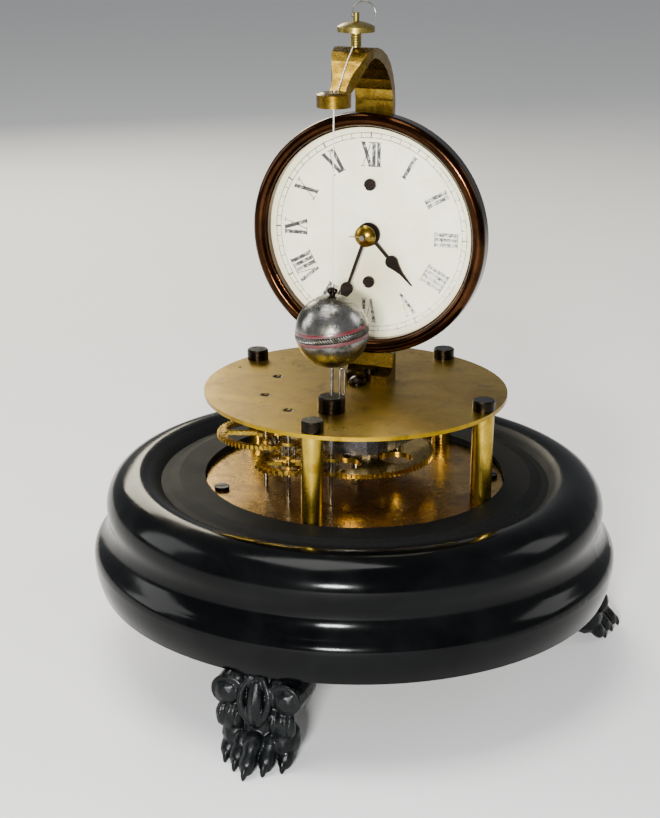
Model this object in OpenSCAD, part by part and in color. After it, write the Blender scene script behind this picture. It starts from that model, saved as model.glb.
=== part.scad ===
// Conical-pendulum mantel clock: turned base, plated movement, dial on a strap bracket.
// Origin: axis of the turned base, on the floor. +Z up, the dial faces -Y. Millimetres.

/* [Base] */
// Radius of the base at its bottom edge
base_r = 66; // [56:1:80]
// Height of the wooden base above the feet
base_h = 28; // [24:0.5:34]
// Height of the feet under the base
foot_h = 22.7; // [18:0.1:28]

/* [Movement] */
// Radius of the top movement plate
plate_r = 38.3; // [36:0.1:46]
// Thickness of both movement plates
plate_t = 1; // [0.8:0.1:1.6]
// Clear height between the plates
plate_gap = 23.24; // [22:0.1:30]
// Radius of the four pillars
pillar_r = 2.64; // [2:0.05:3]

/* [Dial] */
// Height of the dial centre above the top plate
dial_rise = 38.16; // [36:0.02:50]
// Outside radius of the bezel
bezel_r = 30.35; // [27:0.05:33]

/* [Pendulum] */
// Radius of the ball
ball_r = 8.83; // [7:0.05:9.5]
// Clearance from the crutch collar to the bottom of the ball
ball_lift = 7.45; // [6.5:0.05:16]
// Height of the suspension disc above the dial centre
hang_h = 35.03; // [33:0.1:42]

/* [Hidden] */
eps = 0.05;
base_z = foot_h;
base_top = base_z + base_h;
foot_r = base_r - 9;
plate_seat = base_z + base_h - 3.9;
low_top = plate_seat + plate_t;
up_bot = low_top + plate_gap;
up_top = up_bot + plate_t;
dial_z = up_top + dial_rise;
low_r = plate_r - 0.3;
rebate_r = plate_r;
bore_r = plate_r - 4.8;

pillar_at = [[1.8, -35.2], [35.1, -5.8], [13.3, 33], [-32.7, 13.9]];
pillar_k = (plate_r - pillar_r - 0.07) / 35.59;
function pillar_p(i) = [pillar_at[i][0] * pillar_k, pillar_at[i][1] * pillar_k];
nut_r = 2.78;
nut_h = 2.7;
stud_r = 1.2;
plate_screw_a = [21, 120, 216];
plate_screw_r = plate_r - 3.4;

// Train centres in plan
great_p = [-0.5, 2.6];
great_pr = 19.6;
great_n = 96;
second_n = 66;
third_n = 64;
fourth_n = 30;
leaf_n = 8;
second_leaf_pr = great_pr * leaf_n / great_n;
second_p = great_p + (great_pr + second_leaf_pr) * [cos(184.3), sin(184.3)];
third_p = [-18.8, -14.2];
fourth_p = [-9, -23.3];
rotary_p = [0.97, -20.16];
drive_x = 0.7;
drive_dy = sqrt(pow(great_pr + second_leaf_pr, 2) - pow(drive_x - great_p[0], 2));
drive_p = [drive_x, great_p[1] + drive_dy];
second_pr = norm(third_p - second_p) * second_n / (second_n + leaf_n);
third_leaf_pr = norm(third_p - second_p) - second_pr;
third_pr = norm(fourth_p - third_p) * third_n / (third_n + leaf_n);
fourth_leaf_pr = norm(fourth_p - third_p) - third_pr;
fourth_pr = norm(rotary_p - fourth_p) * fourth_n / (fourth_n + leaf_n);
rotary_leaf_pr = norm(rotary_p - fourth_p) - fourth_pr;

// Wheel levels between the plates
great_z = low_top + 5.6;
great_t = 1.3;
ratchet_z = great_z + great_t + 0.02;
ratchet_t = 1.3;
spring_z = ratchet_z + ratchet_t + 0.7;
second_z = up_bot - 5.04;
spring_h = second_z - 1.2 - spring_z;
third_z = second_z - 4.5;
fourth_z = third_z - 3.6;
wheel_t = 1;

// Tooth proportions as fractions of the circular pitch
tooth_root = 0.2;
tooth_tip = 0.07;
tooth_add = 0.28;
tooth_ded = 0.42;
trundle_k = 0.17;
function pitch(pr, n) = 2 * PI * pr / n;
function dir(a, b) = atan2(b[1] - a[1], b[0] - a[0]);
// Offset of the wheel tooth nearest to a direction, and the pinion turn that meets it
function off(a, a0, n) = (a - a0) - round((a - a0) * n / 360) * 360 / n;
function mate(a, a0, nw, np) = a + 180 + 180 / np + off(a, a0, nw) * nw / np;

second_a0 = dir(second_p, third_p);
third_a0 = dir(third_p, fourth_p);
fourth_a0 = dir(fourth_p, rotary_p);
great_a0 = dir(great_p, second_p);

// Bracket and dial, seen from the side as y and z
strap_x = 0.7;
strap_w = 9.7;
strap_y0 = 9;
strap_y1 = 11;
foot_y0 = 3.8;
foot_t = 2.2;
foot_w = 11.8;
foot_screw_y = 6.4;
hang_z = dial_z + hang_h;
disc_h = 3.37;
disc_r = 4;
lift = hang_z - 145.23;
knob_y = -5.3;
knob_r = 4.42;
face_y = 7.3;
pan_y0 = 7.6;
lip_r = bezel_r - 3.65;
hand_bore_r = 0.9;
pin_z = -1.95;

// Motion work behind the strap
cannon_n = 12;
minute_n = 36;
minute_leaf_n = 10;
hour_n = 40;
motion_a = 7.2;
cannon_pr = motion_a * cannon_n / (cannon_n + minute_n);
minute_pr = motion_a - cannon_pr;
minute_leaf_pr = motion_a * minute_leaf_n / (minute_leaf_n + hour_n);
hour_pr = motion_a - minute_leaf_pr;
crown_n = 36;
drive_leaf_pr = 1.5;
crown_pr = drive_leaf_pr * crown_n / leaf_n;
crown_y = drive_p[1] - drive_leaf_pr;
cock_z = dial_z - 14.2;

// Pendulum
collar_r = 3.35;
collar_h = 3.7;
collar_z = up_top + 0.15;
collar_top = collar_z + collar_h;
ball_z = collar_top + ball_lift + ball_r;
knot_z = hang_z - 0.38;
knot_r = 0.35;
thread_r = 0.15;
pin_r = 0.5;

// Hands at 4:33, in degrees clockwise from twelve
minute_a = 199.2;
hour_a = 136.6;

WOOD = [0.03, 0.03, 0.03];
BRASS = [0.72, 0.56, 0.22];
STEEL = [0.35, 0.35, 0.36];
IRON = [0.06, 0.07, 0.07];
SILVER = [0.62, 0.62, 0.6];
PAPER = [0.92, 0.9, 0.82];
COPPER = [0.5, 0.22, 0.08];
BLACK = [0.03, 0.03, 0.03];

// ---------- shared shapes ----------
module cyl(r, z0, z1) {
    translate([0, 0, z0]) cylinder(r = r, h = z1 - z0, $fn = 64);
}

module at(p) {
    translate([p[0], p[1], 0]) children();
}

// Puts a shape drawn about Z onto the dial's axis: local +Z points to the viewer (-Y)
module on_dial(y) {
    translate([strap_x, y, dial_z]) rotate([90, 0, 0]) children();
}

function tooth(n, pr, a0, i, w, r) =
    let (a = a0 + i * 360 / n, h = w * pitch(pr, n) / r * 180 / PI)
    [[r * cos(a - h), r * sin(a - h)], [r * cos(a + h), r * sin(a + h)]];

module gear2d(n, pr, a0, add = tooth_add, ded = tooth_ded) {
    ra = pr + add * pitch(pr, n);
    rd = pr - ded * pitch(pr, n);
    pts = [for (i = [0:n - 1])
        let (root = tooth(n, pr, a0, i, tooth_root, rd), tip = tooth(n, pr, a0, i, tooth_tip, ra))
        each [root[0], tip[0], tip[1], root[1]]];
    polygon(pts);
}

// Crossed-out wheel: rim, spokes and hub
module wheel(n, pr, a0, t, bore, hub, spokes, arm) {
    rim = pr - 2.6 * pitch(pr, n) * tooth_ded - 0.5;
    linear_extrude(t) difference() {
        gear2d(n, pr, a0);
        circle(r = bore, $fn = 64);
        difference() {
            circle(r = rim, $fn = 64);
            circle(r = hub, $fn = 64);
            for (i = [0:spokes - 1]) rotate(i * 360 / spokes + 20)
                translate([0, -arm / 2]) square([rim + 1, arm]);
        }
    }
}

// Two brass shrouds of a lantern pinion
module shrouds(pr, r_arbor, z0, z1, t = 0.8) {
    tr = trundle_k * pitch(pr, leaf_n);
    for (z = [z0, z1 - t]) difference() {
        cyl(pr + tr + 0.3, z, z + t);
        cyl(r_arbor, z - 1, z + t + 1);
        for (i = [0:leaf_n - 1]) rotate(i * 360 / leaf_n)
            translate([pr, 0, 0]) cyl(tr, z - 1, z + t + 1);
    }
}

module trundles(pr, z0, z1) {
    tr = trundle_k * pitch(pr, leaf_n);
    for (i = [0:leaf_n - 1]) rotate(i * 360 / leaf_n)
        translate([pr, 0, 0]) cyl(tr, z0, z1);
}

// Arbor between the plates with a thin pivot at each end
module arbor(r, piv = 0.4) {
    cyl(r, low_top + 0.2, up_bot - 0.2);
    cyl(piv, low_top - plate_t, up_top + 0.1);
}

// Flat strip of spring along a list of points
function strip_n(p, i) =
    let (a = p[max(i - 1, 0)], b = p[min(i + 1, len(p) - 1)], d = (b - a) / norm(b - a))
    [-d[1], d[0]];

module strip(p, t) {
    n = len(p) - 1;
    left = [for (i = [0:n]) p[i] + strip_n(p, i) * t / 2];
    right = [for (i = [n:-1:0]) p[i] - strip_n(p, i) * t / 2];
    polygon(concat(left, right));
}

module screw_head(r, h, slot) {
    difference() {
        cyl(r, 0, h);
        translate([-r - 1, -slot / 2, h * 0.55]) cube([2 * r + 2, slot, h]);
    }
}

// Round wire between two points
module rod(a, b, r) {
    v = b - a;
    translate(a) rotate([0, acos(v[2] / norm(v)), atan2(v[1], v[0])])
        cylinder(r = r, h = norm(v), $fn = 24);
}

module wire(p, r) {
    for (i = [0:len(p) - 2]) rod(p[i], p[i + 1], r);
    for (i = [1:len(p) - 2]) translate(p[i]) sphere(r = r * 1.06, $fn = 24);
}

// Wire in the XZ plane as arcs [centre x, centre z, radius, start, sweep]
module arc_wire(arcs, r) rotate([90, 0, 0])
    for (a = arcs) translate([a[0], a[1], 0]) rotate(a[3])
        rotate_extrude(angle = a[4], $fn = 64) translate([a[2], 0]) circle(r = r, $fn = 24);

// ---------- base and feet ----------
// Mouldings of the base as [centre radius, height, radius]
roll = [base_r - 10.44, base_top - 7.97, 8.07];
ovolo = [base_r - 2.9, base_z + 0.275 * base_h, 4];
skirt_r = 21;
cove_r = 7;

// Centre of the cove that is tangent to both mouldings from outside
function cove_at() =
    let (c1 = [roll[0], roll[1]], c2 = [ovolo[0], ovolo[1]], d = norm(c2 - c1),
        r1 = roll[2] + cove_r, r2 = ovolo[2] + cove_r, u = (c2 - c1) / d,
        a = (r1 * r1 - r2 * r2 + d * d) / (2 * d))
    c1 + a * u + sqrt(r1 * r1 - a * a) * [-u[1], u[0]];
cove = cove_at();
cove_top = [roll[0], roll[1]] + (cove - [roll[0], roll[1]]) * roll[2] / (roll[2] + cove_r);
cove_low = [ovolo[0], ovolo[1]] + (cove - [ovolo[0], ovolo[1]]) * ovolo[2] / (ovolo[2] + cove_r);

module base() color(WOOD) difference() {
    rotate_extrude($fn = 128) union() {
        translate([roll[0], roll[1]]) circle(r = roll[2], $fn = 64);
        translate([ovolo[0], ovolo[1]]) circle(r = ovolo[2], $fn = 64);
        intersection() {
            translate([ovolo[0] + ovolo[2] - skirt_r, ovolo[1]]) circle(r = skirt_r, $fn = 128);
            translate([base_r - 12, base_z]) square([20, ovolo[1] - base_z]);
        }
        difference() {
            polygon([[20, base_z], [base_r - 11, base_z], [base_r - 11, ovolo[1]], [ovolo[0], ovolo[1]],
                cove_low, cove_top, [roll[0], roll[1]], [base_r - 16.4, base_top - 2.45],
                [base_r - 18.2, base_top - 2.3], [base_r - 19.5, base_top - 1.75],
                [base_r - 21, base_top - 1.2], [20, base_top - 1.2]]);
            translate(cove) circle(r = cove_r, $fn = 96);
        }
    }
    cyl(rebate_r + eps, plate_seat, base_top + 1);
    cyl(bore_r, base_z - 1, base_top + 1);
    for (a = plate_screw_a) rotate(a) translate([plate_screw_r, 0, 0])
        cyl(0.9, plate_seat - 8.2, plate_seat + 0.1);
    for (i = [0:2]) rotate(-90 + 120 * i) translate([foot_r, 0, 0])
        cyl(0.9, base_z - 1, base_z + 7.2);
}

// One cast paw: local +X points away from the clock's axis
toe_r = 2.2;
module toe(len) rotate_extrude($fn = 48) polygon([[0, 0], [toe_r, 0], [toe_r * 0.86, len * 0.35],
    [toe_r, len * 0.6], [toe_r * 0.98, len * 0.75], [toe_r * 0.62, len * 0.87],
    [toe_r * 0.5, len * 0.88], [toe_r * 0.1, len], [0, len]]);

module volute(r, len) rotate_extrude($fn = 48) polygon([[0, 0], [r, 0], [r, len - 1],
    [r - 0.8, len], [r * 0.62, len], [r * 0.55, len - 0.7], [r * 0.5, len + 0.3],
    [r * 0.3, len + 1.1], [0, len + 1.4]]);

module foot() {
    k = foot_h / 22.7;
    difference() {
        union() {
            translate([0, 6.8, 0]) rotate([90, 0, 0]) linear_extrude(13.6) polygon([
                [50, foot_h + 1], [65.6, foot_h + 1], [66, 18 * k], [64.3, 13 * k],
                [63.4, 9.6 * k], [65, 6.6 * k], [69, 4.6 * k], [70.2, -1], [60, -1],
                [57.5, 6 * k], [56, 12 * k], [53, 17 * k], [50, 19.5 * k]]);
            for (s = [-1, 1]) translate([54, s * 6.7, foot_h - 4.75 * k])
                rotate([0, 90, 0]) volute(4.62 * k, 12.6);
            translate([55, 0, foot_h - 9.4 * k]) rotate([0, 90, 0]) volute(3.7 * k, 11);
            for (i = [-2:2]) translate([57.5, i * 3.15, 5.6 * k]) rotate([0, 103, i * 4])
                toe(17.2 - abs(i) * 1.15);
        }
        translate([40, -20, -10]) cube([50, 40, 10]);
        translate([40, -20, foot_h]) cube([50, 40, 10]);
        translate([57, 0, 0]) cyl(0.95, foot_h - 30, foot_h + 1);
        translate([57, 0, 0]) cyl(2.6, -1, foot_h - 2.6);
    }
}

module foot_at(i) color(IRON) rotate(-90 + 120 * i)
    translate([base_r - 66, 0, 0]) foot();

module foot_front() foot_at(0);
module foot_right() foot_at(1);
module foot_left() foot_at(2);

module foot_screws() color(STEEL)
    for (i = [0:2]) rotate(-90 + 120 * i) translate([foot_r, 0, 0]) {
        cyl(0.8, foot_h - 3, foot_h + 7);
        translate([0, 0, foot_h - 2.65]) mirror([0, 0, 1]) screw_head(2, 1.3, 0.5);
    }

// ---------- plates ----------
module bottom_plate() color(BRASS) difference() {
    cyl(low_r, plate_seat, low_top);
    for (i = [0:3]) at(pillar_p(i)) cyl(1.6, 0, 200);
    at(great_p) cyl(1.25, 0, 200);
    for (p = [second_p, third_p, fourth_p, rotary_p, drive_p]) at(p) cyl(0.45, 0, 200);
    for (a = plate_screw_a) rotate(a) translate([plate_screw_r, 0, 0]) cyl(1.05, 0, 200);
}

module plate_screws() color(STEEL)
    for (a = plate_screw_a) rotate(a) translate([plate_screw_r, 0, 0]) {
        cyl(0.85, plate_seat - 8, low_top);
        translate([0, 0, low_top]) screw_head(1.9, 0.9, 0.45);
    }

module pillars() color(BRASS)
    for (i = [0:3]) at(pillar_p(i)) {
        cyl(pillar_r, low_top, up_bot);
        cyl(1.6, plate_seat, low_top + 0.5);
        cyl(stud_r, up_bot - 0.5, up_top + nut_h - 0.6);
    }

module top_plate() color(BRASS) difference() {
    cyl(plate_r, up_bot, up_top);
    for (i = [0:3]) at(pillar_p(i)) cyl(stud_r + eps, up_bot - 1, up_top + 1);
    at(great_p) cyl(1.05, up_bot - 1, up_top + 1);
    at(rotary_p) cyl(1.05, up_bot - 1, up_top + 1);
    at(drive_p) cyl(0.75, up_bot - 1, up_top + 1);
    for (p = [second_p, third_p, fourth_p]) at(p) {
        cyl(0.45, up_bot - 1, up_top + 1);
        translate([0, 0, up_top - 0.45])
            cylinder(r1 = 0.7, r2 = 1.35, h = 0.46, $fn = 32);
    }
    at([-34, 4.8]) cyl(0.5, up_bot - 1, up_top + 1);
    at([strap_x + 0.8, foot_screw_y]) cyl(1, up_bot - 1, up_top + 1);
}

module pillar_nuts() color(STEEL)
    for (i = [0:3]) at(pillar_p(i)) difference() {
        union() {
            cyl(nut_r, up_top, up_top + nut_h - 0.3);
            translate([0, 0, up_top + nut_h - 0.3])
                cylinder(r1 = nut_r, r2 = nut_r - 0.3, h = 0.3, $fn = 64);
        }
        cyl(stud_r + eps, up_top - 1, up_top + nut_h - 0.5);
    }

// ---------- great wheel and mainspring ----------
module great_wheel() color(BRASS) at(great_p) translate([0, 0, great_z]) difference() {
    linear_extrude(great_t) gear2d(great_n, great_pr, great_a0);
    cyl(1.65, -1, 3);
    rotate(30) translate([10.8, 0, 0]) cyl(0.55, -1, 3);
    rotate(78) translate([14, 0, 0]) cyl(0.55, -1, 3);
    for (a = [135, 205, 275, 345]) rotate(a) translate([12.2, 0, 0]) cyl(4.2, -1, 3);
}

module winding_arbor() color(STEEL) at(great_p) {
    cyl(1.6, low_top + 0.2, up_bot - 0.2);
    cyl(1.2, plate_seat - 1, low_top + 0.5);
    translate([-0.85, -0.85, plate_seat - 9]) cube([1.7, 1.7, 9]);
    cyl(1, up_bot - 1, up_top + 1.4);
}

module arbor_cap() color(STEEL) at(great_p) difference() {
    intersection() {
        translate([0, 0, up_top - 0.55]) sphere(r = 2.75, $fn = 64);
        cyl(2.35, up_top + 0.1, up_top + 3);
    }
    cyl(1.02, up_top - 1, up_top + 1.42);
}

ratchet_n = 20;
ratchet_r = 7.4;
module ratchet_wheel() color(STEEL) at(great_p) translate([0, 0, ratchet_z])
    linear_extrude(ratchet_t) difference() {
        polygon([for (i = [0:ratchet_n - 1]) let (a = i * 360 / ratchet_n + 30) each [
            [ratchet_r * cos(a), ratchet_r * sin(a)],
            [(ratchet_r - 1.2) * cos(a + 1), (ratchet_r - 1.2) * sin(a + 1)]]]);
        circle(r = 1.65, $fn = 64);
    }

click_a = 30;
click_pr = 10.8;
module click() color(STEEL) at(great_p) rotate(click_a) translate([0, 0, ratchet_z])
    difference() {
        linear_extrude(ratchet_t) union() {
            translate([click_pr, 0]) circle(r = 1.5, $fn = 48);
            polygon([[click_pr + 1.3, 0.6], [10.2, 4.2], [8.35, 5.3], [7.2, 5.2],
                [8.1, 3.2], [click_pr - 1.4, -0.4]]);
        }
        translate([click_pr, 0, 0]) cyl(0.6, -1, 3);
    }

module click_rivets() color(STEEL) at(great_p) {
    rotate(click_a) translate([click_pr, 0, 0]) {
        cyl(0.52, great_z, ratchet_z + ratchet_t + 0.05);
        cyl(1, ratchet_z + ratchet_t + 0.05, ratchet_z + ratchet_t + 0.45);
    }
    rotate(78) translate([14, 0, 0]) {
        cyl(0.52, great_z, ratchet_z + ratchet_t);
        cyl(1, ratchet_z + ratchet_t, ratchet_z + ratchet_t + 0.4);
    }
}

module click_spring() color(STEEL) at(great_p) translate([0, 0, ratchet_z])
    linear_extrude(ratchet_t) difference() {
        rotate(click_a) union() {
            strip([[10.05, 9.95], [11.1, 8.9], [11.9, 7.2], [11.7, 5.4], [10.75, 3.6]], 0.3);
            rotate(48) translate([14, 0]) circle(r = 1.1, $fn = 48);
        }
        rotate(78) translate([14, 0]) circle(r = 0.54, $fn = 48);
    }

spring_r0 = 2.2;
spring_r1 = 11.3;
spring_turns = 8;
spring_steps = 24;
module mainspring() color(STEEL) {
    n = spring_turns * spring_steps;
    hook = pillar_p(2) - great_p;
    loop_r = pillar_r + 0.25;
    end_a = -12;
    coil = [for (i = [0:n]) let (a = end_a - 360 * spring_turns + i * 360 / spring_steps,
        r = spring_r0 + (spring_r1 - spring_r0) * i / n) [r * cos(a), r * sin(a)]];
    run = [for (k = [0.25, 0.5, 0.75])
        coil[n] + (hook + loop_r * [cos(24), -sin(24)] - coil[n]) * k + [0.9 * sin(180 * k), 0]];
    loop = [for (a = [-24:20:236]) hook + loop_r * [cos(a), sin(a)]];
    at(great_p) translate([0, 0, spring_z]) linear_extrude(spring_h)
        strip(concat(coil, run, loop), 0.3);
}

// ---------- going train ----------
module second_arbor() color(STEEL) at(second_p) {
    arbor(0.65);
    rotate(mate(dir(great_p, second_p), great_a0, great_n, leaf_n))
        trundles(second_leaf_pr, great_z - 2.2, great_z + 3.6);
}

module second_shrouds() color(BRASS) at(second_p)
    rotate(mate(dir(great_p, second_p), great_a0, great_n, leaf_n))
        shrouds(second_leaf_pr, 0.65, great_z - 2.2, great_z + 3.6);

module second_wheel() color(BRASS) at(second_p) translate([0, 0, second_z])
    wheel(second_n, second_pr, second_a0, wheel_t, 0.65, 2.6, 4, 1.6);

module third_arbor() color(STEEL) at(third_p) {
    arbor(0.6);
    rotate(mate(dir(second_p, third_p), second_a0, second_n, leaf_n))
        trundles(third_leaf_pr, second_z - 1.6, second_z + 2.9);
}

module third_shrouds() color(BRASS) at(third_p)
    rotate(mate(dir(second_p, third_p), second_a0, second_n, leaf_n))
        shrouds(third_leaf_pr, 0.6, second_z - 1.6, second_z + 2.9);

module third_wheel() color(BRASS) at(third_p) translate([0, 0, third_z])
    wheel(third_n, third_pr, third_a0, wheel_t, 0.6, 2.3, 4, 1.3);

module fourth_arbor() color(STEEL) at(fourth_p) {
    arbor(0.5);
    rotate(mate(dir(third_p, fourth_p), third_a0, third_n, leaf_n))
        trundles(fourth_leaf_pr, third_z - 1.6, third_z + 2.6);
}

module fourth_shrouds() color(BRASS) at(fourth_p)
    rotate(mate(dir(third_p, fourth_p), third_a0, third_n, leaf_n))
        shrouds(fourth_leaf_pr, 0.5, third_z - 1.6, third_z + 2.6);

module fourth_wheel() color(BRASS) at(fourth_p) translate([0, 0, fourth_z])
    wheel(fourth_n, fourth_pr, fourth_a0, wheel_t, 0.5, 1.8, 4, 1.1);

module rotary_arbor() color(STEEL) at(rotary_p) {
    cyl(0.8, low_top + 0.2, up_bot - 0.2);
    cyl(0.4, plate_seat, low_top + 0.5);
    cyl(1, up_bot - 0.5, collar_z + collar_h - 0.8);
    rotate(mate(dir(fourth_p, rotary_p), fourth_a0, fourth_n, leaf_n))
        trundles(rotary_leaf_pr, fourth_z - 1.7, fourth_z + 2.7);
}

module rotary_shrouds() color(BRASS) at(rotary_p)
    rotate(mate(dir(fourth_p, rotary_p), fourth_a0, fourth_n, leaf_n))
        shrouds(rotary_leaf_pr, 0.8, fourth_z - 1.7, fourth_z + 2.7);

// ---------- crutch ----------
wire_a = 20;
wire_r = 0.28;
module crutch_collar() color(STEEL) at(rotary_p) difference() {
    union() {
        cyl(collar_r, collar_z, collar_top - 0.3);
        translate([0, 0, collar_top - 0.3])
            cylinder(r1 = collar_r, r2 = collar_r - 0.3, h = 0.3, $fn = 64);
    }
    cyl(1.02, collar_z - 1, collar_top - 0.78);
    rotate(wire_a) translate([1.95, 0, 0]) cyl(wire_r + 0.01, collar_top - 2, collar_top + 1);
}

module crutch_wire() color(STEEL) at(rotary_p) rotate(wire_a) {
    top = collar_top + ball_lift - 0.95;
    cyl_at(1.95, collar_top - 1.9, top);
    cyl_at(3.05, collar_top + 0.8, top);
    translate([0, 0, top]) arc_wire([[2.5, 0, 0.55, 0, 180]], wire_r);
    translate([0, 0, collar_top + 0.8]) arc_wire([[2.7, 0, 0.35, -100, 100]], wire_r);
}

module cyl_at(x, z0, z1) translate([x, 0, 0]) cyl(wire_r, z0, z1);

// ---------- drive to the hands ----------
module drive_arbor() color(STEEL) at(drive_p) {
    cyl(0.65, low_top + 0.2, dial_z - crown_pr - 1.6);
    cyl(0.4, plate_seat, low_top + 0.5);
    rotate(mate(dir(great_p, drive_p), great_a0, great_n, leaf_n))
        trundles(second_leaf_pr, great_z - 2.2, great_z + 3.6);
    translate([0, 0, dial_z - crown_pr - 2]) linear_extrude(4)
        gear2d(leaf_n, drive_leaf_pr, -90 + 180 / leaf_n, 0.22, 0.36);
}

module drive_shrouds() color(BRASS) at(drive_p)
    rotate(mate(dir(great_p, drive_p), great_a0, great_n, leaf_n))
        shrouds(second_leaf_pr, 0.65, great_z - 2.2, great_z + 3.6);

crown_t = 0.9;
crown_root = 0.45;
module crown_wheel() color(BRASS) on_dial(crown_y) mirror([0, 0, 1]) {
    p = pitch(crown_pr, crown_n);
    translate([0, 0, -crown_root - crown_t]) linear_extrude(crown_t) difference() {
        circle(r = crown_pr + 0.7, $fn = 64);
        circle(r = hand_bore_r, $fn = 64);
        for (a = [45, 135, 225, 315]) rotate(a) translate([3.6, 0]) circle(r = 1.5, $fn = 48);
    }
    for (i = [0:crown_n - 1]) rotate(i * 360 / crown_n) translate([0, crown_pr, 0])
        rotate([-90, 0, 0]) translate([0, 0, -0.7]) linear_extrude(1.4)
            polygon([[-0.2 * p, crown_root + 0.1], [0.2 * p, crown_root + 0.1],
                [0.07 * p, -0.25 * p], [-0.07 * p, -0.25 * p]]);
}

module hand_arbor() color(STEEL) on_dial(0) difference() {
    union() {
        translate([0, 0, -(crown_y - crown_root)]) cylinder(r = 0.9, h = crown_y - 6, $fn = 64);
        translate([0, 0, -7]) cylinder(r = 0.65, h = 5.9, $fn = 64);
    }
    translate([-4, 0, pin_z]) rotate([0, 90, 0]) cylinder(r = 0.3, h = 8, $fn = 24);
}

// ---------- bracket ----------
function side(p) = [for (q = p) [q[0], q[1] + lift]];
module bracket() color(BRASS) difference() {
    union() {
        intersection() {
            translate([-30, 0, 0]) rotate([90, 0, 90]) linear_extrude(60)
                polygon(concat([[strap_y0, up_top + foot_t], [strap_y1, up_top + 4]], side([
                    [11, 143], [10.3, 146.4], [8.9, 149.4], [6.9, 152.2], [4.1, 154.5],
                    [0.6, 156.1], [-2.8, 157], [-6, 157.2], [-8.6, 156.3], [-11.1, 154.5],
                    [-13.7, 152.2], [-15.6, 150], [-17.4, 148.3], [-15.8, 146.4],
                    [-13.6, 148.4], [-11.8, 150.5], [-9.6, 152.6], [-7.3, 154.3],
                    [-4.8, 154.9], [-1.7, 154.1], [1.5, 152.7], [4.3, 150.8],
                    [6.6, 148.4], [8.2, 145.8], [9, 143]])));
            translate([strap_x, 0, 0]) linear_extrude(300) polygon([
                [-strap_w / 2, 12], [strap_w / 2, 12], [strap_w / 2, -6], [4.3, -9],
                [3.4, -12], [2.3, -14.6], [2, -16.5], [2.2, -19], [-2, -19],
                [-1.8, -16.5], [-2.1, -14.6], [-3.4, -12], [-4.5, -9],
                [-strap_w / 2, -6]]);
        }
        translate([rotary_p[0], rotary_p[1], hang_z]) {
            cylinder(r = disc_r, h = disc_h - 0.5, $fn = 64);
            translate([0, 0, disc_h - 0.5])
                cylinder(r1 = disc_r, r2 = disc_r - 1.4, h = 0.5, $fn = 64);
        }
        translate([strap_x - foot_w / 2 + 0.3, 0, 0]) rotate([90, 0, 90])
            linear_extrude(foot_w) polygon([[foot_y0, up_top], [strap_y1, up_top],
                [strap_y1, up_top + 7], [strap_y0, up_top + 7], [strap_y0 - 0.6, up_top + 3.4],
                [strap_y0 - 2, up_top + foot_t], [foot_y0, up_top + foot_t]]);
    }
    at(great_p) cyl(3.4, up_top - 1, up_top + 8);
    at([strap_x + 0.8, foot_screw_y]) {
        cyl(1.05, up_top - 1, up_top + 5);
        cyl(1.95, up_top + foot_t, up_top + 6);
    }
    translate([rotary_p[0], rotary_p[1], hang_z - 1]) cylinder(r = 0.45, h = 8, $fn = 32);
    on_dial(12) cylinder(r = 1.75, h = 4, $fn = 64);
    for (s = [-1, 1]) translate([strap_x, 12, dial_z + s * 12.35]) rotate([90, 0, 0])
        cylinder(r = 0.75, h = 4, $fn = 32);
    translate([strap_x, 12, dial_z - motion_a]) rotate([90, 0, 0])
        cylinder(r = 0.7, h = 4, $fn = 32);
    for (s = [-1, 1]) translate([strap_x + s * 2.6, 12, cock_z - 2.4]) rotate([90, 0, 0])
        cylinder(r = 0.65, h = 4, $fn = 32);
    translate([strap_x + 0.2, knob_y, 150 + lift]) cylinder(r = 0.95, h = 10, $fn = 48);
}

module bracket_screws() color(STEEL) {
    at([strap_x + 0.8, foot_screw_y]) {
        cyl(0.95, up_bot - 0.8, up_top + foot_t + 0.1);
        translate([0, 0, up_top + foot_t]) screw_head(1.8, 1.4, 0.45);
    }
    for (s = [-1, 1]) translate([strap_x + s * 2.6, 0, cock_z - 2.4]) rotate([-90, 0, 0]) {
        cyl(0.6, strap_y0 + 0.1, strap_y1 + 1.3);
        translate([0, 0, strap_y1 + 1.2]) screw_head(1.2, 0.8, 0.35);
    }
}

module back_cock() color(BRASS) difference() {
    translate([strap_x - 4, 0, 0]) rotate([90, 0, 90]) linear_extrude(8) polygon([
        [strap_y1, cock_z - 5], [strap_y1 + 1.2, cock_z - 5], [strap_y1 + 1.2, cock_z],
        [drive_p[1] + 2.6, cock_z], [drive_p[1] + 2.6, cock_z + 1.2],
        [strap_y1 + 7.6, cock_z + 1.2], [strap_y1 + 7.6, dial_z + 3],
        [strap_y1 + 6.4, dial_z + 3], [strap_y1 + 6.4, cock_z + 1.2], [strap_y1, cock_z + 1.2]]);
    at(drive_p) cyl(0.7, cock_z - 1, cock_z + 3);
    on_dial(strap_y1 + 9) cylinder(r = 0.95, h = 4, $fn = 64);
    for (s = [-1, 1]) translate([strap_x + s * 2.6, 14, cock_z - 2.4]) rotate([90, 0, 0])
        cylinder(r = 0.62, h = 4, $fn = 32);
}

module regulator_screw() color(BRASS)
    translate([strap_x + 0.2, knob_y, hang_z]) difference() {
        union() {
            cyl(0.92, 10.2, 12.4);
            cyl(1.22, 12.1, 16);
            for (i = [0:5]) translate([0, 0, 12.4 + i * 0.55])
                cylinder(r1 = 1.22, r2 = 1.34, h = 0.25, $fn = 48);
            cyl(knob_r, 15.5, 16.3);
            intersection() {
                translate([0, 0, 17.95 - 8.4]) sphere(r = 8.4, $fn = 64);
                cyl(knob_r, 16.2, 20);
            }
            cyl(0.72, 17, 19.9);
        }
        translate([-2, 0, 19]) rotate([0, 90, 0]) cylinder(r = 0.18, h = 4, $fn = 24);
    }

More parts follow.
